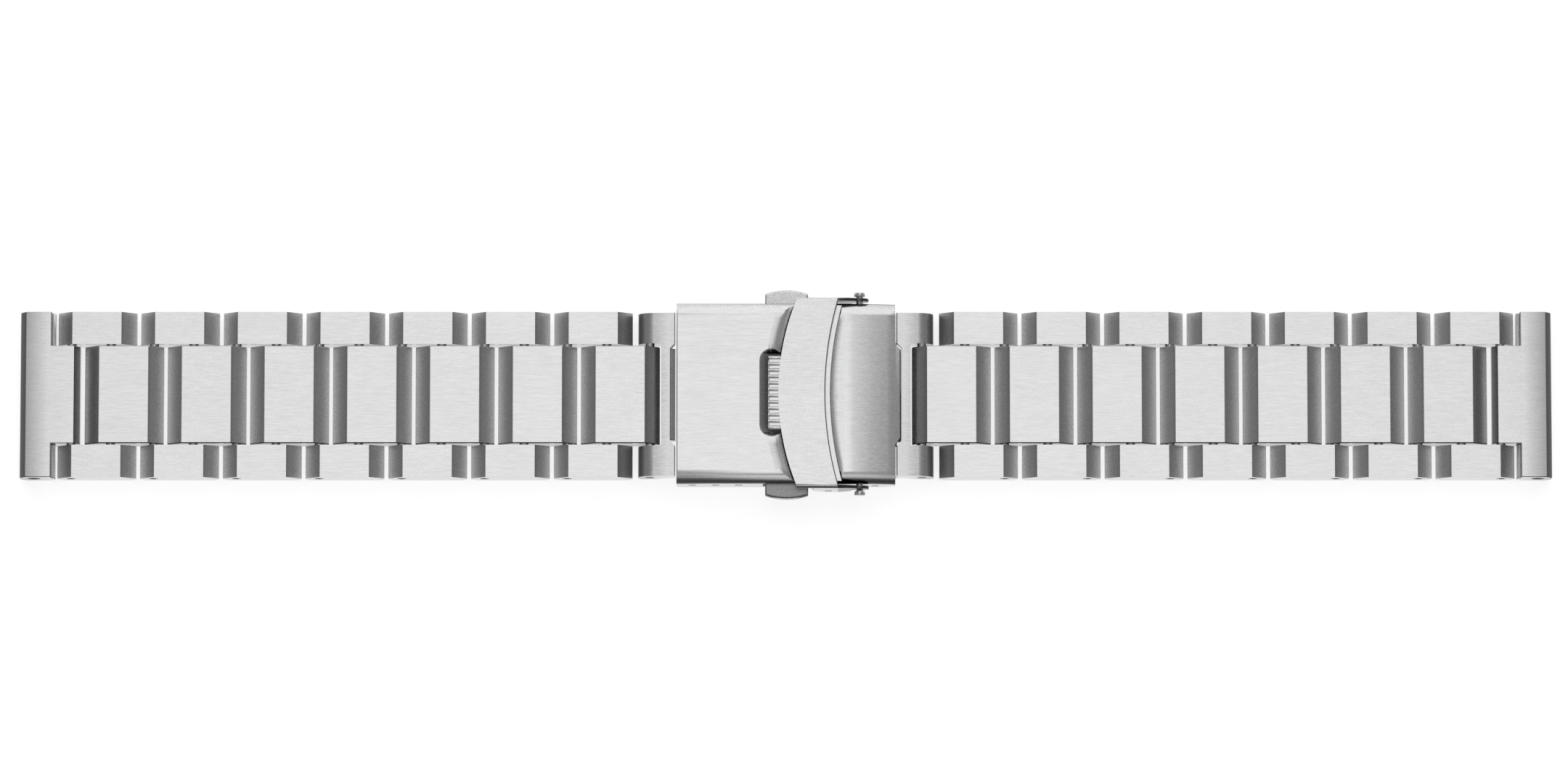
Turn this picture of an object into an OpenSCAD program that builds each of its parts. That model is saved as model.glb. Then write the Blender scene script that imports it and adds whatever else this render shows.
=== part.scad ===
// Steel watch bracelet with solid three-row links, lying flat and closed.
// X runs along the bracelet, Y across it and Z up. The origin is under the middle of the clasp.
// The left half ends in the clasp cover, the right half in the lower fold blade.

/* [Band] */
// Width of the band over its three rows
band_w = 22; // [20:0.5:24]
// Width of the middle row
centre_w = 13; // [11:0.5:14]
// Gap between the middle row and each outer row
row_gap = 0.2; // [0.15:0.05:0.4]
// Thickness of a link
link_t = 4.2; // [4:0.1:4.8]
// Distance between two hinges
link_pitch = 10.95; // [10.8:0.05:12]

/* [Link shape] */
// Gap between two outer pieces that follow each other
outer_gap = 0.55; // [0.5:0.05:0.8]
// Gap between two middle pieces that follow each other
centre_gap = 0.5; // [0.45:0.05:0.7]
// How far an outer piece reaches past its own hinge
outer_lead = 1.75; // [1.5:0.05:1.8]
// How far a middle piece reaches past the next hinge
centre_tail = 1.3; // [1.2:0.05:1.4]
// Length of the slope at each end of a link's top
bevel_l = 1.95; // [1.2:0.05:2.1]
// Height of that slope
bevel_h = 1.8; // [1.2:0.1:2]
// Length of the slope at each end of a link's underside
under_l = 0.9; // [0.8:0.05:1.1]
// Height of that slope
under_h = 1.4; // [1.3:0.1:1.5]

/* [Pins] */
// Diameter of the link pins
pin_d = 1.2; // [1:0.1:1.3]
// Gap around a pin that is held fast
hold_gap = 0.01; // [0.01:0.005:0.02]
// Gap around a pin that turns
turn_gap = 0.04; // [0.03:0.01:0.08]
// How far the pin ends lie below the side of the band
pin_recess = 0.35; // [0.2:0.05:0.8]
// Depth of the hidden holes that tie an outer piece to its middle piece
tie_depth = 2.2; // [1.5:0.1:3]

/* [End pieces] */
// Length from the first hinge to the tip of an end piece
end_l = 6.7; // [6.3:0.1:8]
// Length of the part of an end piece that has the full width
end_body_l = 4.2; // [3.8:0.1:4.2]
// Step that shows below the edge of the full width part
end_ledge = 0.42; // [0.2:0.02:0.44]
// Diameter of the hole for the watch's spring bar
lug_bore_d = 1.6; // [1.5:0.1:2]

/* [Connecting links] */
// Distance from the middle of the clasp to the first hinge
first_hinge = 18; // [17.9:0.1:18.3]
// How far the ears of a connecting link reach past that hinge
ear_l = 1.55; // [1.4:0.05:1.6]
// Width of the slot between the ears
ear_slot_w = 13.6; // [13.6:0.1:14]
// How far the slot reaches past the hinge
ear_slot_l = 1.5; // [1.4:0.05:1.6]
// Thickness of the bridge between the ears
bridge_l = 1.15; // [1.1:0.05:1.3]
// Height of a connecting link at its clasp end
neck_h = 4.5; // [4.4:0.05:4.8]
// Radius of the rounded ends of its ears
ear_r = 2.2; // [1.6:0.1:2.4]
// Amount by which the notch at its clasp end widens on each side
neck_flare = 1; // [0.8:0.05:1]
// Amount by which a connecting link is narrower than the band
neck_inset = 0.15; // [0.1:0.05:0.4]

/* [Clasp cover] */
// How much wider the cover is than the band
cover_over = 2; // [1.8:0.1:2.6]
// Distance from the middle of the clasp to each end of the cover
cover_reach = 14.45; // [14.4:0.05:14.6]
// Height of the top of the cover
cover_h = 6.4; // [6.3:0.1:6.8]
// Height of the underside of the cover's top
cover_under = 4.7; // [4.7:0.05:4.9]
// Thickness of the cover's side walls
cover_wall = 0.8; // [0.6:0.1:0.9]
// Rounding of the long top edges
cover_round = 1.7; // [0.8:0.1:1.7]
// Place from which the cover falls towards its right end
cover_fall_x = 6.2; // [5.8:0.1:8]
// Radius of the long arc in which it falls
cover_fall_r = 34; // [30:1:60]
// Depth of the recess that the flap lies in
recess_d = 0.7; // [0.5:0.05:0.8]
// Place of the first adjustment hole
adjust_x = -12.35; // [-12.45:0.05:-12.2]
// Distance between two adjustment holes
adjust_pitch = 3.05; // [2.8:0.05:3.2]
// Diameter of the adjustment holes
adjust_d = 1.1; // [1:0.05:1.2]
// Height of the adjustment holes
adjust_z = 3.55; // [3.5:0.05:3.7]
// Length of the sloping walls of the finger notch
notch_slope = 1.15; // [0.6:0.05:1.15]
// Room beside the finger tongue at the top of the notch
notch_side = 0.85; // [0.8:0.05:1]
// Room in front of the finger tongue at the top of the notch
notch_front = 1.2; // [1.1:0.05:1.4]

/* [Safety flap] */
// Thickness of the flap
flap_t = 0.45; // [0.35:0.05:0.5]
// Gap between the flap and the cover
flap_gap = 0.25; // [0.2:0.05:0.35]
// Outer radius of the bends between the flap and its sides
flap_bend = 0.5; // [0.2:0.1:0.5]
// Place of the flap's left edge in its middle
flap_left = -1; // [-1.2:0.1:-0.8]
// Radius of the flap's left edge
flap_left_r = 33; // [30:1:40]
// Place of the flap's right edge in its middle
flap_right = 5.2; // [5:0.1:5.4]
// Radius of the flap's right edge
flap_right_r = 45; // [42:1:55]
// Place of the flap's hinge
flap_hinge_x = 9.75; // [9.6:0.05:9.9]
// Height of the flap's hinge
flap_hinge_z = 4.4; // [4.3:0.05:4.5]
// Width of the finger tongue
tongue_w = 10; // [8:0.1:10.2]
// Length of the finger tongue
tongue_l = 1.3; // [1:0.1:1.5]
// Number of ribs on the finger tongue
rib_n = 12; // [8:1:14]

/* [Push buttons] */
// Length of a push button along the clasp
button_l = 5.7; // [5:0.1:5.8]
// How far a push button stands out of the cover
button_out = 1.85; // [1.4:0.05:2.2]
// Bulge of its outer face
button_bulge = 0.5; // [0.2:0.05:0.6]
// Height of a push button
button_h = 2.25; // [1.8:0.05:2.3]

/* [Fold blades] */
// Thickness of the lower blade
lower_t = 0.9; // [0.7:0.05:0.95]
// Thickness of the upper blade
upper_t = 0.8; // [0.6:0.05:0.85]
// Width of the lower blade
lower_w = 19; // [17:0.5:20]
// Width of the upper blade
upper_w = 16; // [14:0.5:17]
// Place of the hinge between the blades
fold_x = -11.5; // [-11.6:0.05:-11.3]
// Place of the hinge between the upper blade and the cover
lid_x = 11.8; // [11.5:0.05:11.9]
// Height of that hinge
lid_z = 2.7; // [2.6:0.05:2.8]
// Place of the pin that holds the right half of the band
band_pin_x = 14.2; // [14.1:0.05:14.3]
// Diameter of the pins in the clasp
clasp_pin_d = 1; // [0.9:0.05:1.05]

/* [Hidden] */

links_n = 7;
// Length by which a cut runs past what it cuts
past = 1;
// Length by which pieces of one solid run into each other
bite = 0.3;
// Gap that keeps a moving piece clear of its neighbour
clear = 0.3;

outer_w = (band_w - centre_w) / 2 - row_gap;
pin_z = link_t / 2;
outer_end = link_pitch - outer_lead - outer_gap;
centre_start = centre_tail + centre_gap;
centre_end = link_pitch + centre_tail;
tie_x = (centre_start + outer_end) / 2;

end_hinge_face = -end_l + end_body_l;
lug_x = -end_l + 1.85;

neck_w = band_w - 2 * neck_inset;
neck_end = first_hinge - cover_reach - 0.2;
slot_undercut = centre_tail + 0.5;

cover_w = band_w + cover_over;
inner_half = cover_w / 2 - cover_wall;
wall_foot = 0.9;
recess_z = cover_h - recess_d;
flap_z = recess_z + clear;
flap_top = flap_z + flap_t;
flap_in = cover_w / 2 + flap_gap;
flap_out = flap_in + flap_t - 0.05;
flap_left_c = flap_left + flap_left_r;
flap_right_c = flap_right + flap_right_r;
notch_l = notch_front + tongue_l - flap_left;
notch_w = tongue_w + 2 * notch_side;
notch_z = cover_under + 0.45;
rivet_d = 0.9;
rib_d = 0.85 * tongue_w / rib_n;
rib_pitch = (tongue_w - rib_d) / (rib_n - 1);

button_x = 0.1;
button_z = 2.35;
button_face = cover_w / 2 + button_out;
button_slot = clear;

knuckle_r = lower_t + 0.1;
fold_z = knuckle_r;
fold_knuckle_w = 8;
upper_z = lower_t + clear;
lid_sleeve_r = 1;
lid_sleeve_w = 12;
tab_w = 12.4;
tab_end_w = 11.6;
tab_base_w = 13.6;
tab_reach = first_hinge - ear_slot_l - bridge_l - clear;
cover_fall_a = asin((tab_reach + past - cover_fall_x) / (cover_fall_r - cover_h));
band_pin_z = 2.2;
band_knuckle_r = 1.1;
lug_inner_w = 13.8;

// Children drawn flat in X and Z, given a width along Y from y0
module across(y0, w) {
    translate([0, y0 + w, 0])
        rotate([90, 0, 0])
            linear_extrude(w)
                children();
}

// A flat outline drawn in X and Z, given a width along Y from y0
module slab(outline, y0, w) {
    across(y0, w)
        polygon(outline);
}

// A block seen from its end between two heights, with its two upper corners rounded
module rounded_end(w, r, low, high) {
    flat_w = w - 2 * r;
    translate([-w / 2, low])
        square([w, high - r - low]);
    translate([-flat_w / 2, low])
        square([flat_w, high - low]);
    for (s = [-1, 1])
        translate([s * flat_w / 2, high - r])
            circle(r, $fn = 64);
}

// Points of an S shaped line that leaves and arrives along Y
function s_curve(x0, x1, y0, y1, n = 6) =
    [for (i = [0:n]) [x0 + (1 - cos(180 * i / n)) / 2 * (x1 - x0), y0 + i / n * (y1 - y0)]];

// A round bar or hole along Y
module crossbar(x, z, d, w) {
    translate([x, w / 2, z])
        rotate([90, 0, 0])
            cylinder(d = d, h = w, $fn = 48);
}

// Children drawn for the left half, set at hinge number j counted from the clasp
module at_hinge(side, j) {
    mirror([side > 0 ? 1 : 0, 0, 0])
        translate([-(first_hinge + j * link_pitch), 0, 0])
            children();
}

// Side view of a link piece between two places
function link_outline(x0, x1) = [
    [x0 + under_l, 0],
    [x1 - under_l, 0],
    [x1, under_h],
    [x1, link_t - bevel_h],
    [x1 - bevel_l, link_t],
    [x0 + bevel_l, link_t],
    [x0, link_t - bevel_h],
    [x0, under_h]
];

// The two outer pieces of a link, with the hinge hole and the blind tie holes
module outers(side, k) {
    color("gainsboro")
        at_hinge(side, links_n + 1 - k)
            difference() {
                for (s = [-1, 1])
                    slab(link_outline(-outer_lead, outer_end),
                        s * (band_w / 2 - outer_w / 2) - outer_w / 2, outer_w);
                crossbar(0, pin_z, pin_d + 2 * hold_gap, band_w + 2 * past);
                crossbar(tie_x, pin_z, pin_d + 2 * hold_gap, centre_w + 2 * (row_gap + tie_depth));
            }
}

// The middle piece of a link, which turns on the next link's hinge pin
module centre(side, k) {
    color("silver")
        at_hinge(side, links_n + 1 - k)
            difference() {
                slab(link_outline(centre_start, centre_end), -centre_w / 2, centre_w);
                crossbar(link_pitch, pin_z, pin_d + 2 * turn_gap, centre_w + 2 * past);
                crossbar(tie_x, pin_z, pin_d + 2 * hold_gap, centre_w + 2 * past);
            }
}

// The hinge pin and the tie pin of a link
module pins(side, k) {
    color("dimgray")
        at_hinge(side, links_n + 1 - k) {
            crossbar(0, pin_z, pin_d, band_w - 2 * pin_recess);
            crossbar(tie_x, pin_z, pin_d, centre_w + 2 * (row_gap + tie_depth - 0.1));
        }
}

// The T shaped piece that meets the watch
module end_piece(side) {
    color("gainsboro")
        at_hinge(side, links_n)
            difference() {
                union() {
                    slab([
                        [-end_l + 0.8, 0],
                        [end_hinge_face + end_ledge - 0.6, 0],
                        [end_hinge_face + end_ledge, 1],
                        [end_hinge_face + end_ledge, 2.8],
                        [end_hinge_face, 2.9],
                        [end_hinge_face, link_t - 0.1],
                        [end_hinge_face - 0.1, link_t],
                        [-end_l + 0.77, link_t],
                        [-end_l + 0.12, link_t - 0.9],
                        [-end_l, link_t - 1.3],
                        [-end_l, 0.9]
                    ], -band_w / 2, band_w);
                    slab([
                        [end_hinge_face - bite, 0],
                        [centre_tail - under_l, 0],
                        [centre_tail - 0.1, under_h],
                        [centre_tail - 0.1, link_t - 1.3],
                        [centre_tail - 0.85, link_t],
                        [end_hinge_face - bite, link_t]
                    ], -centre_w / 2, centre_w);
                }
                crossbar(0, pin_z, pin_d + 2 * turn_gap, centre_w + 2 * past);
                crossbar(lug_x, pin_z, lug_bore_d, band_w + 2 * past);
            }
}

// Side view of a connecting link, with its ears rounded at the band's end
module neck_side_view() {
    ear_top = link_t + 0.05;
    difference() {
        polygon([
            [-ear_l + 0.7, 0],
            [first_hinge - 17.6, 0],
            [first_hinge - 15.6, 1.5],
            [neck_end, 1.9],
            [neck_end, neck_h - 0.1],
            [neck_end - 0.1, neck_h],
            [-ear_l + ear_r, ear_top],
            [-ear_l, ear_top],
            [-ear_l, 0.9]
        ]);
        difference() {
            translate([-ear_l - past, ear_top - ear_r])
                square([ear_r + past, ear_r + past]);
            translate([-ear_l + ear_r, ear_top - ear_r])
                circle(ear_r, $fn = 96);
        }
    }
}

// A connecting link without its clasp end
module neck(side) {
    notch_x = ear_slot_l + bridge_l;
    notch_in = tab_w / 2 - 0.2;
    notch_out = notch_in + neck_flare;
    difference() {
        across(-neck_w / 2, neck_w)
            neck_side_view();
        translate([-ear_l - past, -ear_slot_w / 2, -past])
            cube([ear_l + ear_slot_l + past, ear_slot_w, neck_h + 2 * past]);
        crossbar(0, pin_z, 2 * slot_undercut, ear_slot_w);
        translate([0, 0, -past])
            linear_extrude(neck_h + 2 * past)
                polygon(concat(
                    s_curve(notch_x, neck_end, -notch_in, -notch_out),
                    [[neck_end + past, -notch_out], [neck_end + past, notch_out]],
                    s_curve(neck_end, notch_x, notch_out, notch_in)
                ));
        crossbar(0, pin_z, pin_d + 2 * hold_gap, band_w + 2 * past);
    }
}

// Left connecting link, with the tongue that the adjustment bar goes through
module left_connector() {
    bar_x = first_hinge + adjust_x;
    knuckle = 0.85;
    color("gainsboro")
        at_hinge(-1, 0)
            difference() {
                union() {
                    neck(-1);
                    slab([
                        [ear_slot_l + bridge_l - bite, 1.6],
                        [neck_end - 0.3, 2.1],
                        [bar_x, adjust_z - knuckle],
                        [bar_x, adjust_z],
                        [neck_end, adjust_z],
                        [ear_slot_l + bridge_l, link_t],
                        [ear_slot_l + bridge_l - bite, link_t]
                    ], -tab_w / 2 + 0.1, tab_w - 0.2);
                    crossbar(bar_x, adjust_z, 2 * knuckle, tab_w - 0.2);
                }
                crossbar(bar_x, adjust_z, clasp_pin_d + 2 * turn_gap, tab_w + 2 * past);
            }
}

// Right connecting link, with two lugs that hold the lower blade's tab between them
module right_connector() {
    pin_x = first_hinge - band_pin_x;
    lug_w = (neck_w - lug_inner_w) / 2;
    color("gainsboro")
        at_hinge(1, 0)
            difference() {
                union() {
                    neck(1);
                    for (s = [-1, 1])
                        translate([0, s * (neck_w - lug_w) / 2, 0]) {
                            crossbar(pin_x, band_pin_z, 2 * band_knuckle_r, lug_w);
                            slab([
                                [neck_end - 1, 2],
                                [neck_end - 1, band_pin_z + band_knuckle_r],
                                [pin_x, band_pin_z + band_knuckle_r],
                                [pin_x, 2]
                            ], -lug_w / 2, lug_w);
                        }
                }
                crossbar(pin_x, band_pin_z, 2 * (band_knuckle_r + clear), lug_inner_w - 0.2);
                crossbar(pin_x, band_pin_z, clasp_pin_d + 2 * hold_gap, band_w + 2 * past);
            }
}

// Pin in the ears of a connecting link, which the last link turns on
module connector_pin(side) {
    color("dimgray")
        at_hinge(side, 0)
            crossbar(0, pin_z, pin_d, neck_w - 2 * pin_recess);
}
module left_connector_pin() connector_pin(-1);
module right_connector_pin() connector_pin(1);

// Pin in the lugs of the right connecting link
module band_pin() {
    color("dimgray")
        crossbar(band_pin_x, band_pin_z, clasp_pin_d, neck_w - 2 * pin_recess);
}

// Lower fold blade with a knuckle at each end
module lower_blade() {
    color("darkgray")
        difference() {
            union() {
                translate([fold_x, -lower_w / 2, 0])
                    cube([band_pin_x - 1.6 - fold_x, lower_w, lower_t]);
                crossbar(fold_x, fold_z, 2 * knuckle_r, lower_w);
                translate([band_pin_x - 2, -tab_w / 2, 0])
                    cube([2, tab_w, lower_t]);
                crossbar(band_pin_x, band_pin_z, 2 * band_knuckle_r, tab_w);
                translate([band_pin_x - 0.8, -tab_w / 2, lower_t - bite])
                    cube([0.8, tab_w, band_pin_z - lower_t + bite]);
            }
            translate([fold_x - knuckle_r - past, -fold_knuckle_w / 2 - clear, -past])
                cube([2 * knuckle_r + past + clear, fold_knuckle_w + 2 * clear, 2 * fold_z + 2 * past]);
            crossbar(fold_x, fold_z, clasp_pin_d + 2 * hold_gap, lower_w + 2 * past);
            crossbar(band_pin_x, band_pin_z, clasp_pin_d + 2 * turn_gap, tab_w + 2 * past);
        }
}

// Pin between the two blades
module fold_pin() {
    color("dimgray")
        crossbar(fold_x, fold_z, clasp_pin_d, lower_w - 0.2);
}

// Upper fold blade, from the fold at its left to the cover's hinge at its right
module upper_blade() {
    color("darkgray")
        difference() {
            union() {
                translate([fold_x + knuckle_r + clear, -upper_w / 2, upper_z])
                    cube([lid_x - 1.6 - fold_x - knuckle_r - clear, upper_w, upper_t]);
                translate([fold_x, -fold_knuckle_w / 2, upper_z])
                    cube([knuckle_r + clear + bite, fold_knuckle_w, upper_t]);
                crossbar(fold_x, fold_z, 2 * knuckle_r, fold_knuckle_w);
                slab([
                    [lid_x - 1.9, upper_z],
                    [lid_x - 0.7, upper_z + 0.1],
                    [lid_x, lid_z - lid_sleeve_r + 0.1],
                    [lid_x, lid_z + 0.5],
                    [lid_x - 0.8, lid_z + 0.2],
                    [lid_x - 1.9, upper_z + upper_t]
                ], -lid_sleeve_w / 2, lid_sleeve_w);
                crossbar(lid_x, lid_z, 2 * lid_sleeve_r, lid_sleeve_w);
            }
            crossbar(fold_x, fold_z, clasp_pin_d + 2 * turn_gap, fold_knuckle_w + 2 * past);
            crossbar(lid_x, lid_z, clasp_pin_d + 2 * turn_gap, lid_sleeve_w + 2 * past);
        }
}

// The cover as a solid block, level at first and then bent down in a long arc
module cover_block() {
    translate([-cover_reach - past, 0, 0])
        rotate([90, 0, 90])
            linear_extrude(cover_fall_x + cover_reach + past)
                rounded_end(cover_w, cover_round, 0, cover_h);
    translate([cover_fall_x, 0, cover_h - cover_fall_r])
        rotate([-90, -90, 0])
            rotate_extrude(angle = cover_fall_a, $fn = 720)
                rotate([0, 0, -90])
                    rounded_end(cover_w, cover_round, cover_fall_r - cover_h, cover_fall_r);
}

// The cover seen from above, with the tab that covers the joint with the right half of the band
module cover_plan() {
    half_w = cover_w / 2 + past;
    base = tab_base_w / 2;
    end = tab_end_w / 2;
    polygon(concat(
        [[-cover_reach - past, -half_w], [cover_reach, -half_w]],
        s_curve(cover_reach, tab_reach, -base, -end),
        [[tab_reach + past, -end], [tab_reach + past, end]],
        s_curve(tab_reach, cover_reach, end, base),
        [[cover_reach, half_w], [-cover_reach - past, half_w]]
    ));
}

// A stack of cones in which each pair gives a radius and a height
module cone_stack(steps) {
    for (i = [1:len(steps) - 1])
        translate([0, 0, steps[i - 1][1]])
            cylinder(h = steps[i][1] - steps[i - 1][1], r1 = steps[i - 1][0], r2 = steps[i][0], $fn = 180);
}

// Cutter for the recess that the flap lies in: a soft slope on the left, a low step on the right
module recess() {
    difference() {
        translate([flap_left_c, 0, cover_h])
            cone_stack([
                [flap_left_r - 0.1, -recess_d],
                [flap_left_r + 0.9, -0.12],
                [flap_left_r + 1.12, -0.065],
                [flap_left_r + 1.4, -0.03],
                [flap_left_r + 2.8, 0.05]
            ]);
        translate([flap_right_c, 0, cover_h])
            cone_stack([
                [flap_right_r - 0.6, -recess_d - past],
                [flap_right_r - 0.6, -recess_d],
                [flap_right_r - 0.78, -0.12],
                [flap_right_r - 1.15, -0.055],
                [flap_right_r - 2.2, 0.05]
            ]);
    }
}

// Cutter for the finger notch, with round corners and sloping walls
module notch() {
    deep = cover_h - notch_z;
    r = notch_slope + 0.4;
    over = 0.4;
    lean = notch_slope * (deep + over) / deep;
    half_w = notch_w / 2;
    for (s = [-1, 1])
        translate([-notch_l + r, s * (half_w - r), notch_z])
            cylinder(h = deep + over, r1 = r - notch_slope, r2 = r - notch_slope + lean, $fn = 48);
    slab([
        [-notch_l + notch_slope, notch_z],
        [-notch_l + notch_slope - lean, cover_h + over],
        [0, cover_h + over],
        [0, notch_z]
    ], -half_w + r, notch_w - 2 * r);
    translate([-notch_l + r, 0, 0])
        rotate([90, 0, 90])
            linear_extrude(notch_l - r)
                polygon([
                    [-half_w + notch_slope, notch_z],
                    [-half_w + notch_slope - lean, cover_h + over],
                    [half_w - notch_slope + lean, cover_h + over],
                    [half_w - notch_slope, notch_z]
                ]);
}

// Clasp cover: a top with two side walls, open below and at both ends
module cover() {
    color("lightgray")
        difference() {
            intersection() {
                cover_block();
                slab([
                    [-cover_reach, wall_foot + 0.6],
                    [-cover_reach + 0.6, wall_foot],
                    [cover_reach - 2, wall_foot],
                    [cover_reach - 0.4, wall_foot + 1.2],
                    [tab_reach, wall_foot + 1.2],
                    [tab_reach, cover_h + past],
                    [-cover_reach + 0.15 + past, cover_h + past],
                    [-cover_reach, cover_h - 0.15]
                ], -cover_w / 2 - past, cover_w + 2 * past);
                linear_extrude(cover_h + past)
                    cover_plan();
            }
            translate([-cover_reach - past, -inner_half, -past])
                cube([cover_reach + tab_reach + 2 * past, 2 * inner_half, cover_under + past]);
            recess();
            notch();
            for (i = [0:2])
                crossbar(adjust_x + i * adjust_pitch, adjust_z, adjust_d, cover_w + 2 * past);
            crossbar(lid_x, lid_z, clasp_pin_d + 2 * hold_gap, cover_w + 2 * past);
            crossbar(flap_hinge_x, flap_hinge_z, rivet_d + 2 * hold_gap, cover_w + 2 * past);
            translate([button_x - button_l / 2 - button_slot, -cover_w / 2 - past, button_z - button_slot])
                cube([button_l + 2 * button_slot, cover_w + 2 * past, button_h + 2 * button_slot]);
        }
}

// Pin that the upper blade turns on
module lid_pin() {
    color("dimgray")
        crossbar(lid_x, lid_z, clasp_pin_d, cover_w - 0.4);
}

// Bar that holds the left half of the band in one of the adjustment holes
module adjust_bar() {
    color("dimgray")
        crossbar(adjust_x, adjust_z, clasp_pin_d, cover_w - 0.5);
}

// Rivets with round heads that the flap's arms turn on
module flap_rivets() {
    color("gainsboro")
        for (s = [-1, 1])
            translate([flap_hinge_x, 0, flap_hinge_z])
                rotate([-90 * s, 0, 0]) {
                    translate([0, 0, inner_half])
                        cylinder(d = rivet_d, h = flap_out + 0.5 - inner_half, $fn = 48);
                    translate([0, 0, flap_out + 0.3])
                        cylinder(d = 1.4, h = 0.5, $fn = 48);
                }
}

// Side view of one side of the flap: edge band, round lobe and the arm to the rivet
module flap_side_plan() {
    lobe_x = 6.15;
    lobe_r = 2.7;
    lobe_z = 3.7;
    difference() {
        union() {
            translate([lobe_x, lobe_z])
                circle(lobe_r, $fn = 96);
            translate([flap_hinge_x, flap_hinge_z])
                circle(1.2, $fn = 48);
            polygon([
                [1.5, button_z + button_h + clear + 0.2],
                [lobe_x - 2.4, button_z + button_h + clear + 0.2],
                [lobe_x, lobe_z],
                [lobe_x + 1, lobe_z - 0.6],
                [flap_hinge_x, flap_hinge_z - 1.05],
                [flap_hinge_x, flap_hinge_z + 1.05],
                [7, flap_top],
                [1.5, flap_top]
            ]);
        }
        translate([flap_hinge_x, flap_hinge_z])
            circle(rivet_d / 2 + turn_gap, $fn = 48);
        translate([5.6, 2.5])
            circle(0.5, $fn = 32);
        translate([0, flap_top])
            square([12, past]);
    }
}

// Safety flap: a curved strap over the cover, two sides, and a ribbed finger tongue
module flap() {
    color("whitesmoke")
        union() {
            intersection() {
                translate([flap_left - past, 0, 0])
                    rotate([90, 0, 90])
                        linear_extrude(flap_hinge_x - flap_left + 3 * past)
                            rounded_end(2 * flap_out, flap_bend, 0, flap_top);
                union() {
                    translate([0, 0, flap_z])
                        linear_extrude(flap_t)
                            difference() {
                                intersection() {
                                    translate([flap_left_c, 0])
                                        circle(flap_left_r, $fn = 180);
                                    translate([-5, -flap_out])
                                        square([15, 2 * flap_out]);
                                }
                                translate([flap_right_c, 0])
                                    circle(flap_right_r, $fn = 180);
                            }
                    for (s = [-1, 1])
                        translate([0, s > 0 ? flap_out : -flap_in, 0])
                            rotate([90, 0, 0])
                                linear_extrude(flap_out - flap_in)
                                    flap_side_plan();
                }
            }
            translate([flap_left - tongue_l + 0.1, -tongue_w / 2 + rib_d / 2, flap_z])
                cube([tongue_l + 0.5, tongue_w - rib_d, rib_d / 2]);
            for (i = [0:rib_n - 1])
                translate([flap_left - tongue_l, (i - (rib_n - 1) / 2) * rib_pitch, flap_top - rib_d / 2])
                    rotate([0, 90, 0])
                        cylinder(d = rib_d, h = tongue_l + 0.3, $fn = 32);
        }
}

// Push button on the side s of the cover, with a collar that keeps it in
module button(s) {
    bow_r = (pow(button_l / 2, 2) + pow(button_bulge, 2)) / (2 * button_bulge);
    color("silver")
        mirror([0, s > 0 ? 0 : 1, 0])
            translate([button_x, 0, button_z]) {
                linear_extrude(button_h)
                    intersection() {
                        translate([-button_l / 2, inner_half - 1])
                            square([button_l, button_face - inner_half + 1]);
                        translate([0, button_face - bow_r])
                            circle(bow_r, $fn = 96);
                    }
                translate([-button_l / 2 - 0.8, inner_half - clear - 0.7, 0])
                    cube([button_l + 1.6, 0.7, button_h]);
            }
}
module front_button() button(-1);
module back_button() button(1);

module left_end() end_piece(-1);
module right_end() end_piece(1);

module left_1_outers() outers(-1, 1);
module left_2_outers() outers(-1, 2);
module left_3_outers() outers(-1, 3);
module left_4_outers() outers(-1, 4);
module left_5_outers() outers(-1, 5);
module left_6_outers() outers(-1, 6);
module left_7_outers() outers(-1, 7);
module right_1_outers() outers(1, 1);
module right_2_outers() outers(1, 2);
module right_3_outers() outers(1, 3);
module right_4_outers() outers(1, 4);
module right_5_outers() outers(1, 5);
module right_6_outers() outers(1, 6);
module right_7_outers() outers(1, 7);

module left_1_centre() centre(-1, 1);
module left_2_centre() centre(-1, 2);
module left_3_centre() centre(-1, 3);
module left_4_centre() centre(-1, 4);
module left_5_centre() centre(-1, 5);
module left_6_centre() centre(-1, 6);
module left_7_centre() centre(-1, 7);
module right_1_centre() centre(1, 1);
module right_2_centre() centre(1, 2);
module right_3_centre() centre(1, 3);
module right_4_centre() centre(1, 4);
module right_5_centre() centre(1, 5);
module right_6_centre() centre(1, 6);
module right_7_centre() centre(1, 7);

module left_1_pins() pins(-1, 1);
module left_2_pins() pins(-1, 2);
module left_3_pins() pins(-1, 3);
module left_4_pins() pins(-1, 4);
module left_5_pins() pins(-1, 5);
module left_6_pins() pins(-1, 6);
module left_7_pins() pins(-1, 7);
module right_1_pins() pins(1, 1);
module right_2_pins() pins(1, 2);
module right_3_pins() pins(1, 3);
module right_4_pins() pins(1, 4);
module right_5_pins() pins(1, 5);
module right_6_pins() pins(1, 6);
module right_7_pins() pins(1, 7);

lower_blade();
fold_pin();
band_pin();
upper_blade();
cover();
lid_pin();
adjust_bar();
flap_rivets();
flap();
front_button();
back_button();
left_connector();
left_connector_pin();
right_connector();
right_connector_pin();
left_end();
right_end();
left_1_outers();
left_2_outers();
left_3_outers();
left_4_outers();
left_5_outers();
left_6_outers();
left_7_outers();
right_1_outers();
right_2_outers();
right_3_outers();
right_4_outers();
right_5_outers();
right_6_outers();
right_7_outers();
left_1_centre();
left_2_centre();
left_3_centre();
left_4_centre();
left_5_centre();
left_6_centre();
left_7_centre();
right_1_centre();
right_2_centre();
right_3_centre();
right_4_centre();
right_5_centre();
right_6_centre();
right_7_centre();
left_1_pins();
left_2_pins();
left_3_pins();
left_4_pins();
left_5_pins();
left_6_pins();
left_7_pins();
right_1_pins();
right_2_pins();
right_3_pins();
right_4_pins();
right_5_pins();
right_6_pins();
right_7_pins();
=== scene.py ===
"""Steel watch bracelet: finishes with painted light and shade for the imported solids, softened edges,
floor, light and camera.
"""

import math

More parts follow.
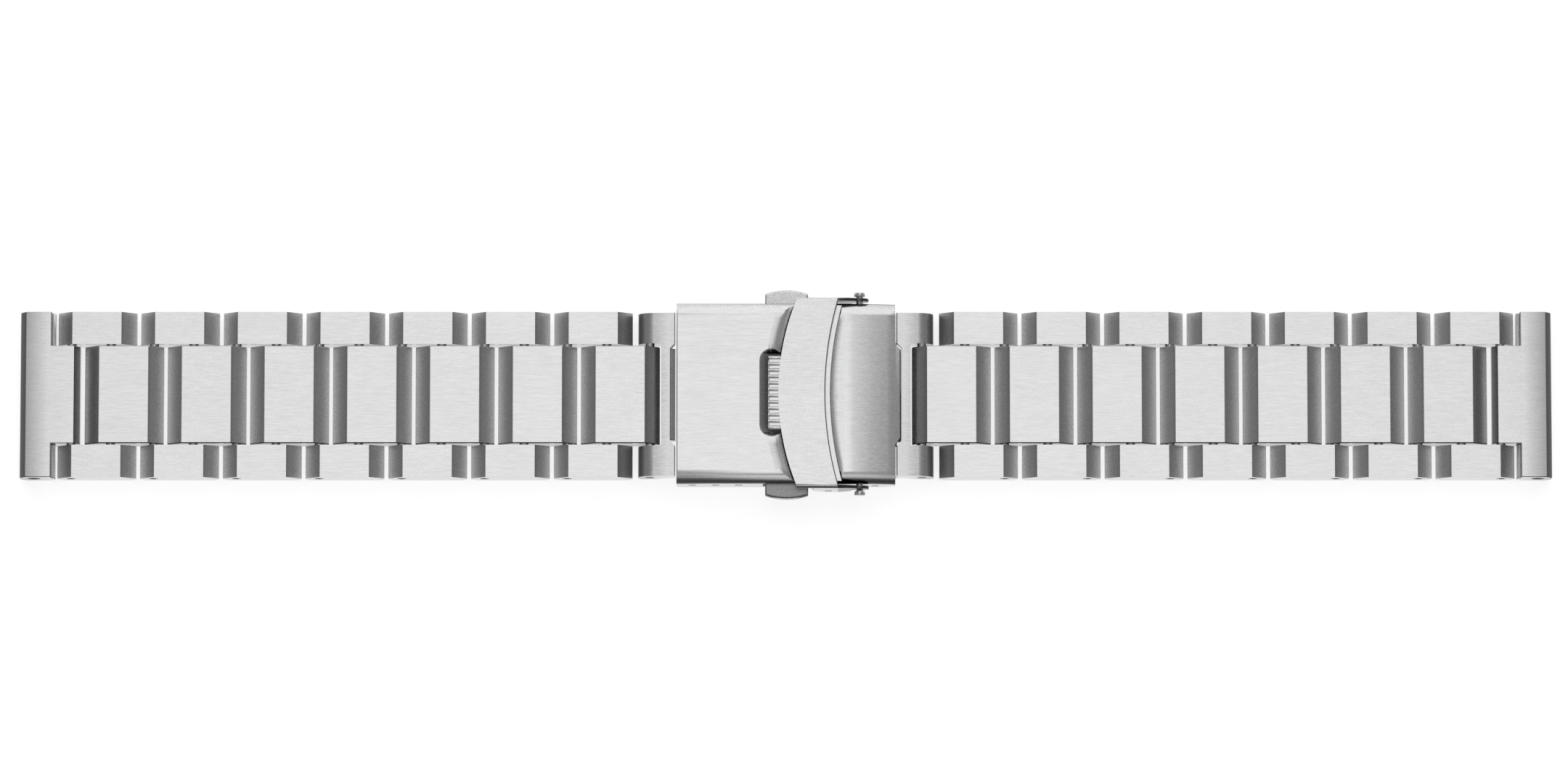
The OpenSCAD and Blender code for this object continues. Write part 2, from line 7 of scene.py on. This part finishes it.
import bpy
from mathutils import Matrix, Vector


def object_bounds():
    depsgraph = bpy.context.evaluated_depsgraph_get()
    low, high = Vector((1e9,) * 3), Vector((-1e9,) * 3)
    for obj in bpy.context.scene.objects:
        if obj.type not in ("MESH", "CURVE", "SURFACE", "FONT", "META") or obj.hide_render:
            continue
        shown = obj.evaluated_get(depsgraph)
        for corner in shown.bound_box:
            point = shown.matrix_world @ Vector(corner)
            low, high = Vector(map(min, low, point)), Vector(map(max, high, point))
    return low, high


MM = 0.001

# The photograph's view: nearly straight down, tilted a little towards the front edge
CAMERA_ELEVATION = 83.3
CAMERA_LENS = 205.0
CAMERA_SENSOR = 36.0
VIEW_WIDTH = 207.6 * MM
VIEW_CENTRE = Vector((-0.25 * MM, 0.45 * MM, 3.0 * MM))

# Edge softening: (width in millimetres, segments), the angle in degrees from which an edge is softened,
# and the distance in millimetres within which points are joined first
LINK_EDGE = (0.14, 2)
CLASP_EDGE = (0.08, 2)
FLAP_EDGE = (0.12, 3)
BUTTON_EDGE = (0.25, 4)
EDGE_ANGLE = 28.0
JOIN_DISTANCE = 0.0005

# Light: brightness of the studio by the sine of the height above the ground
WORLD_STEPS = [
    (0.0, 0.70),
    (0.10, 0.62),
    (0.25, 0.38),
    (0.446, 0.26),
    (0.80, 0.21),
    (0.90, 0.22),
    (0.94, 0.25),
    (0.968, 0.36),
    (0.985, 0.62),
    (1.0, 1.0),
]
WORLD_LEVEL = 1.27
# A light behind the bracelet and one before it: direction, and brightness by the cosine of the angle to it
BACK_LIGHT = (0.0, 0.766, 0.643)
BACK_STEPS = [(0.66, 0.0), (0.74, 0.55), (0.81, 0.98), (0.90, 0.98), (1.0, 0.94)]
FRONT_LIGHT = (0.0, -0.8, 0.6)
FRONT_STEPS = [(0.80, 0.0), (0.90, 0.45), (0.96, 0.72), (1.0, 0.72)]

# Table: half its size and its depth below the bracelet in millimetres, its tone as it is seen and as the
# steel reflects it, and its own glow in both
TABLE_HALF = 600.0
TABLE_DROP = 0.02
TABLE_TONE = (0.55, 0.4)
TABLE_GLOW = (0.74, 0.6)

STEEL_TINT = (0.998, 1.0, 1.002)

# Roughness of the flats, slopes and side walls of the blasted buttons
BUTTON_ROUGH = (0.42, 0.4, 0.3)

# What counts as a flat by how level a surface is, and as a side wall by how far it faces sideways
FLAT_STEPS = [(0.80, 0.0), (0.96, 1.0)]
SIDE_STEPS = [(0.975, 0.0), (0.995, 1.0)]

# Painted shade: the steel's colour level by how level the surface is, from an upright one to a flat
PAINTED_SHADE_BY_TILT = [
    (0.0, 1.0),
    (0.10, 0.9),
    (0.20, 0.34),
    (0.60, 0.34),
    (0.70, 0.5),
    (0.85, 0.76),
    (0.96, 1.0),
]
# Painted light: the least level by how far a surface is turned to the back, so that those slopes stay
# light
PAINTED_LIGHT_TO_BACK = [(0.01, 0.0), (0.08, 1.1), (0.2, 1.35), (0.84, 1.35), (0.92, 0.15)]
# Painted shade: the greatest level by how far it is turned to the front, so that those slopes are dark
PAINTED_SHADE_TO_FRONT = [(0.45, 1.0), (0.56, 0.6), (0.68, 0.13), (0.79, 0.05), (0.97, 0.05), (0.99, 1.0)]
# Painted shade on the links' surfaces turned to the front
LINK_PAINTED_SHADE_TO_FRONT = [(0.08, 1.0), (0.22, 0.12), (0.97, 0.05), (0.99, 1.0)]
# Painted light: side walls get a brighter colour level, standing in for the white table's reflection
PAINTED_SIDE_LIGHT = 1.14

# Painted shade: the colour level by the distance from the middle in millimetres, darkening the band's two
# ends, and the rounded ears of the connecting links
END_PAINTED_SHADE = [(96.5, 1.0), (100.2, 0.84), (100.6, 0.42), (101.3, 0.34)]
EAR_PAINTED_SHADE = [(16.3, 1.0), (17.6, 0.78), (18.8, 0.36)]

# Painted light and shade on a link's slopes: their two heights in millimetres and the level at each,
# lighter at the foot and darker at the top
LINK_SLOPE = (2.4, 4.2)
SLOPE_PAINTED_SHADING = (1.75, 0.5)

# Recesses: two places along the band, a half width across it in millimetres, and the painted level of the
# walls: painted shade in the connecting links' notches, the finger notch and the gaps between the flap's
# ribs, and a painted highlight on the step beside the flap
CONNECTOR_NOTCH_SHADE = (-15.3, 15.3, 6.0, 0.75)
FINGER_NOTCH_SHADE = (-6.0, 4.0, 5.2, 0.48)
STEP_BESIDE_FLAP_HIGHLIGHT = (4.5, 8.0, 10.4, 1.0)
RIB_GAP_SHADE = (-3.0, -0.7, 5.3, 0.16)
RECESS_METALLIC = 0.3

# Painted shade line: the flap's right edge is cut by a circle: its middle along the band, its radius and
# the width of the painted dark line
FLAP_CUT_SHADE_LINE = (50.2, 45.0, 0.13)
CUT_PAINTED_SHADE = 0.12

# Patterns as (scale, detail, roughness). Brushing draws them out along the band, and each piece gets its
# own place in them by its random number
FINE_LINES = (7500.0, 2.0, 0.6)
BROAD_LINES = (2600.0, 2.0, 0.55)
SPECKLE = (6500.0, 2.0, 0.7)
CLOUDS = (170.0, 2.0, 0.55)
BRUSH_SCALE = (0.08, 1.0, 1.0)
PIECE_SHIFT = (0.37, 0.53, 0.71)
# The share of the fine lines among the lines, and of the speckle in brushed steel
FINE_SHARE = 0.75
SPECKLE_SHARE = 0.42

# How strongly the grain shows in the colour on flats and on slopes, and what is left of it on side walls
FLAT_GRAIN = 0.86
SLOPE_GRAIN = 1.25
SIDE_GRAIN = 0.25
CLOUD_AMOUNT = 0.07
ROUGHNESS_GRAIN = 0.16
# Height of the grain in millimetres, and its strength on side walls and elsewhere
BUMP_HEIGHT = 0.01
SIDE_BUMP = 0.05
BUMP = 0.4


def new_material(name):
    """An empty node material and the calls that fill it."""
    material = bpy.data.materials.new(name)
    material.use_nodes = True
    material.node_tree.nodes.clear()
    return material, Graph(material.node_tree)


class Graph:
    """Short calls for building a node tree. Values are numbers or the outputs of other nodes."""

    def __init__(self, tree):
        self.tree = tree

    def add(self, kind, **settings):
        node = self.tree.nodes.new(kind)
        for key, value in settings.items():
            setattr(node, key, value)
        return node

    def link(self, source, target):
        self.tree.links.new(source, target)

    def put(self, value, target):
        """Sets an input to a number, or links an output to it."""
        if isinstance(value, (int, float)):
            target.default_value = value
        else:
            self.link(value, target)

    def parts(self, vector):
        """The three parts of a vector, by the names X, Y and Z."""
        node = self.add("ShaderNodeSeparateXYZ")
        self.link(vector, node.inputs[0])
        return node.outputs

    def math(self, operation, a, b=None, clamp=False):
        node = self.add("ShaderNodeMath", operation=operation, use_clamp=clamp)
        self.put(a, node.inputs[0])
        if b is not None:
            self.put(b, node.inputs[1])
        return node.outputs[0]

    def product(self, first, *others):
        value = first
        for other in others:
            value = self.math("MULTIPLY", value, other)
        return value

    def mix(self, fac, a, b):
        """a where fac is 0 and b where it is 1."""
        node = self.add("ShaderNodeMix", data_type="FLOAT")
        self.put(fac, node.inputs[0])
        self.put(a, node.inputs[2])
        self.put(b, node.inputs[3])
        return node.outputs[0]

    def noise(self, vector, scale, detail, roughness):
        node = self.add("ShaderNodeTexNoise")
        node.inputs["Scale"].default_value = scale
        node.inputs["Detail"].default_value = detail
        node.inputs["Roughness"].default_value = roughness
        self.link(vector, node.inputs["Vector"])
        return node.outputs["Fac"]

    def ramp(self, fac, stops):
        """A value ramp from (position, value) pairs."""
        node = self.add("ShaderNodeValToRGB")
        elements = node.color_ramp.elements
        while len(elements) < len(stops):
            elements.new(0.5)
        for element, (position, value) in zip(elements, stops, strict=True):
            element.position = position
            element.color = (value, value, value, 1.0)
        self.link(fac, node.inputs["Fac"])
        return node.outputs["Color"]

    def span(self, value, given, wanted):
        """A value between two lengths in millimetres turned into one between the wanted two."""
        node = self.add("ShaderNodeMapRange")
        self.link(value, node.inputs["Value"])
        node.inputs["From Min"].default_value = given[0] * MM
        node.inputs["From Max"].default_value = given[1] * MM
        node.inputs["To Min"].default_value = wanted[0]
        node.inputs["To Max"].default_value = wanted[1]
        return node.outputs[0]

    def colour(self, red, green, blue):
        node = self.add("ShaderNodeCombineColor")
        for value, target in zip((red, green, blue), node.inputs, strict=True):
            self.link(value, target)
        return node.outputs[0]


def add_grain(g, place, is_flat, brushed):
    """The grain from -0.5 to 0.5, in lines along the band on brushed flats, and soft clouds beside it."""
    info = g.add("ShaderNodeObjectInfo")
    shift = g.add("ShaderNodeVectorMath", operation="SCALE")
    shift.inputs[0].default_value = PIECE_SHIFT
    g.link(info.outputs["Random"], shift.inputs["Scale"])
    moved = g.add("ShaderNodeVectorMath", operation="ADD")
    g.link(place, moved.inputs[0])
    g.link(shift.outputs[0], moved.inputs[1])
    lines = g.add("ShaderNodeMapping")
    lines.inputs["Scale"].default_value = BRUSH_SCALE
    g.link(moved.outputs[0], lines.inputs["Vector"])

    fine = g.noise(lines.outputs[0], *FINE_LINES)
    broad = g.noise(lines.outputs[0], *BROAD_LINES)
    speckle = g.noise(moved.outputs[0], *SPECKLE)
    clouds = g.noise(moved.outputs[0], *CLOUDS)
    on_flats = g.mix(SPECKLE_SHARE, g.mix(FINE_SHARE, broad, fine), speckle) if brushed else speckle
    grain = g.math("SUBTRACT", g.mix(is_flat, speckle, on_flats), 0.5)
    return grain, g.math("SUBTRACT", clouds, 0.5)


def add_cut(g, place, cut):
    """1 inside the circle of a cut edge and its painted dark shade line, 0 outside."""
    middle, radius, width = cut
    from_middle = g.add("ShaderNodeVectorMath", operation="MULTIPLY_ADD")
    g.link(place, from_middle.inputs[0])
    from_middle.inputs[1].default_value = (1.0, 1.0, 0.0)
    from_middle.inputs[2].default_value = (-middle * MM, 0.0, 0.0)
    away = g.add("ShaderNodeVectorMath", operation="LENGTH")
    g.link(from_middle.outputs[0], away.inputs[0])
    return g.math("LESS_THAN", away.outputs["Value"], (radius + width) * MM)


def steel(
    name,
    bright=0.82,
    rough=(0.24, 0.34, 0.14),
    grain=1.0,
    brushed=True,
    slope=None,
    fade=None,
    recesses=(),
    cut=None,
    front=PAINTED_SHADE_TO_FRONT,
):
    """Brushed steel: fine lines along the band on the flats, grainy slopes and polished side walls, with
    painted light and shade by tilt.

    bright is the colour of a flat and grain the strength of its grain. rough is for flats, slopes and
    side walls. slope gives the two heights between which painted shade darkens slopes upwards, and fade
    the painted shade by the distance from the middle of the band. Walls inside one of the recesses are
    less metallic and get its painted shade or highlight. cut is a circle with a painted shade line along
    it. front is the painted shade of what is turned to the front.
    """
    material, g = new_material(name)
    source = g.add("ShaderNodeTexCoord")
    place = source.outputs["Object"]
    where = g.parts(place)
    turned = g.parts(source.outputs["Normal"])
    up = g.math("ABSOLUTE", turned["Z"])
    is_flat = g.ramp(up, FLAT_STEPS)
    is_side = g.ramp(g.math("ABSOLUTE", turned["Y"]), SIDE_STEPS)

    # Painted shade by how level the surface is, with painted light on surfaces turned to the back and
    # painted shade on those turned to the front
    level = g.math("MAXIMUM", g.ramp(up, PAINTED_SHADE_BY_TILT), g.ramp(turned["Y"], PAINTED_LIGHT_TO_BACK))
    forward = g.math("MULTIPLY", turned["Y"], -1.0)
    level = g.math("MINIMUM", level, g.ramp(forward, front))
    # Painted light on the side walls
    level = g.mix(is_side, level, PAINTED_SIDE_LIGHT)
    # Painted light at the slopes' foot, fading to painted shade at their top
    if slope:
        painted_slope_shading = g.span(where["Z"], slope, SLOPE_PAINTED_SHADING)
        level = g.product(level, g.mix(g.math("MAXIMUM", is_flat, is_side), painted_slope_shading, 1.0))
    # Painted shade towards the band's ends and the ears' rounded tips
    if fade:
        along = g.math("ABSOLUTE", where["X"])
        level = g.product(level, g.ramp(along, [(x * MM, part) for x, part in fade]))
    # A painted dark shade line along the flap's cut edge
    if cut:
        level = g.product(level, g.mix(add_cut(g, place, cut), 1.0, CUT_PAINTED_SHADE))
    metallic = 1.0
    # Painted shade on the walls inside each recess, or a painted highlight on the step beside the flap
    for left, right, half_width, painted_wall_level in recesses:
        inside = g.product(
            g.math("LESS_THAN", g.math("ABSOLUTE", where["Y"]), half_width * MM),
            g.math("GREATER_THAN", where["X"], left * MM),
            g.math("LESS_THAN", where["X"], right * MM),
            g.math("SUBTRACT", 1.0, is_flat),
        )
        level = g.mix(inside, level, painted_wall_level)
        metallic = g.mix(inside, metallic, RECESS_METALLIC)

    pattern, clouds = add_grain(g, place, is_flat, brushed)
    amount = g.product(
        g.mix(is_flat, SLOPE_GRAIN * grain, FLAT_GRAIN * grain), g.mix(is_side, 1.0, SIDE_GRAIN)
    )
    spread = g.math("ADD", g.product(pattern, amount), g.product(clouds, CLOUD_AMOUNT))
    value = g.product(g.math("ADD", spread, 1.0), g.product(level, bright))
    roughness = g.mix(is_side, g.mix(is_flat, rough[1], rough[0]), rough[2])
    roughness = g.math("ADD", roughness, g.product(pattern, ROUGHNESS_GRAIN * grain))

    shader = g.add("ShaderNodeBsdfPrincipled")
    tinted = [g.math("MULTIPLY", value, part, clamp=True) for part in STEEL_TINT]
    g.link(g.colour(*tinted), shader.inputs["Base Color"])
    g.put(metallic, shader.inputs["Metallic"])
    g.link(roughness, shader.inputs["Roughness"])
    bump = g.add("ShaderNodeBump")
    bump.inputs["Distance"].default_value = BUMP_HEIGHT * MM
    g.link(pattern, bump.inputs["Height"])
    g.link(g.mix(is_side, BUMP * grain, SIDE_BUMP), bump.inputs["Strength"])
    g.link(bump.outputs[0], shader.inputs["Normal"])
    out = g.add("ShaderNodeOutputMaterial")
    g.link(shader.outputs[0], out.inputs["Surface"])
    return material


def dress(objects, material, edge=None):
    """Gives CAD nodes one material and, with edge, softly rounded edges."""
    for o in objects:
        o.data.materials.clear()
        o.data.materials.append(material)
        if edge:
            weld = o.modifiers.new("weld", "WELD")
            weld.merge_threshold = JOIN_DISTANCE * MM
            bevel = o.modifiers.new("edges", "BEVEL")
            bevel.width = edge[0] * MM
            bevel.segments = edge[1]
            bevel.limit_method = "ANGLE"
            bevel.angle_limit = math.radians(EDGE_ANGLE)
            bevel.harden_normals = True
            bevel.use_clamp_overlap = True


def make_world():
    """Soft light from above, one from behind and one from before, and a white background."""
    world = bpy.data.worlds.new("studio")
    bpy.context.scene.world = world
    world.use_nodes = True
    world.node_tree.nodes.clear()
    g = Graph(world.node_tree)
    place = g.add("ShaderNodeTexCoord")
    height = g.parts(place.outputs["Generated"])["Z"]
    level = g.ramp(g.math("MAXIMUM", height, 0.0), WORLD_STEPS)
    level = g.math("MULTIPLY", level, WORLD_LEVEL)
    for direction, steps in ((BACK_LIGHT, BACK_STEPS), (FRONT_LIGHT, FRONT_STEPS)):
        towards = g.add("ShaderNodeVectorMath", operation="DOT_PRODUCT")
        g.link(place.outputs["Generated"], towards.inputs[0])
        towards.inputs[1].default_value = direction
        level = g.math("MAXIMUM", level, g.ramp(towards.outputs["Value"], steps))
    light = g.add("ShaderNodeBackground")
    g.link(level, light.inputs["Color"])
    white = g.add("ShaderNodeBackground")
    white.inputs["Color"].default_value = (1, 1, 1, 1)
    path = g.add("ShaderNodeLightPath")
    mix = g.add("ShaderNodeMixShader")
    g.link(path.outputs["Is Camera Ray"], mix.inputs[0])
    g.link(light.outputs[0], mix.inputs[1])
    g.link(white.outputs[0], mix.inputs[2])
    out = g.add("ShaderNodeOutputWorld")
    g.link(mix.outputs[0], out.inputs["Surface"])


def make_table():
    """A plain white table that keeps the bracelet's shadow."""
    mesh = bpy.data.meshes.new("floor")
    half = TABLE_HALF * MM
    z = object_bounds()[0].z - TABLE_DROP * MM
    corners = [(-half, -half, z), (half, -half, z), (half, half, z), (-half, half, z)]
    mesh.from_pydata(corners, [], [(0, 1, 2, 3)])
    table = bpy.data.objects.new("floor", mesh)
    bpy.context.scene.collection.objects.link(table)
    material, g = new_material("white_table")
    path = g.add("ShaderNodeLightPath")
    tone = g.mix(path.outputs["Is Glossy Ray"], *TABLE_TONE)
    surface = g.add("ShaderNodeBsdfDiffuse")
    g.link(g.colour(tone, tone, tone), surface.inputs["Color"])
    glow = g.add("ShaderNodeEmission")
    glow.inputs["Color"].default_value = (1, 1, 1, 1)
    seen = g.math("MULTIPLY", path.outputs["Is Camera Ray"], TABLE_GLOW[0])
    reflected = g.math("MULTIPLY", path.outputs["Is Glossy Ray"], TABLE_GLOW[1])
    g.link(g.math("ADD", seen, reflected), glow.inputs["Strength"])
    both = g.add("ShaderNodeAddShader")
    g.link(surface.outputs[0], both.inputs[0])
    g.link(glow.outputs[0], both.inputs[1])
    out = g.add("ShaderNodeOutputMaterial")
    g.link(both.outputs[0], out.inputs["Surface"])
    mesh.materials.append(material)


def make_camera():
    """The photograph's camera."""
    camera = bpy.data.objects.new("camera", bpy.data.cameras.new("camera"))
    bpy.context.scene.collection.objects.link(camera)
    camera.data.lens = CAMERA_LENS
    camera.data.sensor_width = CAMERA_SENSOR
    distance = VIEW_WIDTH / CAMERA_SENSOR * CAMERA_LENS
    tilt = math.radians(CAMERA_ELEVATION)
    back = Vector((0, -math.cos(tilt), math.sin(tilt)))
    camera.location = VIEW_CENTRE + back * distance
    camera.rotation_mode = "QUATERNION"
    camera.rotation_quaternion = (-back).to_track_quat("-Z", "Y")
    camera.data.clip_start = 0.01
    camera.data.clip_end = 10
    bpy.context.scene.camera = camera


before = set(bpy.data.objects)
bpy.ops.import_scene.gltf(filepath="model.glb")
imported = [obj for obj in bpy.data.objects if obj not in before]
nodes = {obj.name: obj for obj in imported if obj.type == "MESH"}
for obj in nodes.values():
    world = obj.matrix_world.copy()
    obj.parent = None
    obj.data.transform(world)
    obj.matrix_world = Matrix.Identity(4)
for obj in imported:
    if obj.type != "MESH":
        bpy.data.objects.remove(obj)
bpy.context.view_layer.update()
bpy.context.scene.view_settings.view_transform = "Standard"

link_steel = steel("link_steel", slope=LINK_SLOPE, fade=END_PAINTED_SHADE, front=LINK_PAINTED_SHADE_TO_FRONT)
connector_steel = steel(
    "connector_steel",
    bright=1.0,
    fade=EAR_PAINTED_SHADE,
    recesses=[CONNECTOR_NOTCH_SHADE],
    front=LINK_PAINTED_SHADE_TO_FRONT,
)
clasp_steel = steel("clasp_steel", rough=(0.24, 0.28, 0.14), recesses=[FINGER_NOTCH_SHADE, STEP_BESIDE_FLAP_HIGHLIGHT])
flap_steel = steel(
    "flap_steel",
    bright=0.77,
    rough=(0.2, 0.22, 0.12),
    grain=1.25,
    recesses=[RIB_GAP_SHADE],
    cut=FLAP_CUT_SHADE_LINE,
)
blade_steel = steel("blade_steel", bright=0.6, rough=(0.3, 0.3, 0.25))
# The two buttons are one steel: the front one is painted darker as painted shade under the cover's edge
back_button_steel = steel("back_button_steel", bright=0.8, rough=BUTTON_ROUGH, grain=1.8, brushed=False)
shaded_front_button_steel = steel("shaded_front_button_steel", bright=0.4, rough=BUTTON_ROUGH, grain=2.4, brushed=False)
pin_steel = steel("pin_steel", bright=0.8, rough=(0.3, 0.3, 0.3))
rivet_steel = steel("rivet_steel", bright=0.62, rough=(0.2, 0.22, 0.2))

pins = [o for n, o in nodes.items() if n.endswith(("_pin", "_pins")) or n == "adjust_bar"]
links = [o for n, o in nodes.items() if n.endswith(("_outers", "_centre", "_end"))]
connectors = [nodes["left_connector"], nodes["right_connector"]]
dress(pins, pin_steel)
dress(links, link_steel, LINK_EDGE)
# Softened edges would leave blotches on the connecting links' ears, so these keep their sharp ones
dress(connectors, connector_steel)
dress([nodes["cover"]], clasp_steel, CLASP_EDGE)
dress([nodes["flap"]], flap_steel, FLAP_EDGE)
dress([nodes["flap_rivets"]], rivet_steel, CLASP_EDGE)
dress([nodes["front_button"]], shaded_front_button_steel, BUTTON_EDGE)
dress([nodes["back_button"]], back_button_steel, BUTTON_EDGE)
dress([nodes["lower_blade"], nodes["upper_blade"]], blade_steel, CLASP_EDGE)

make_world()
make_table()
make_camera()
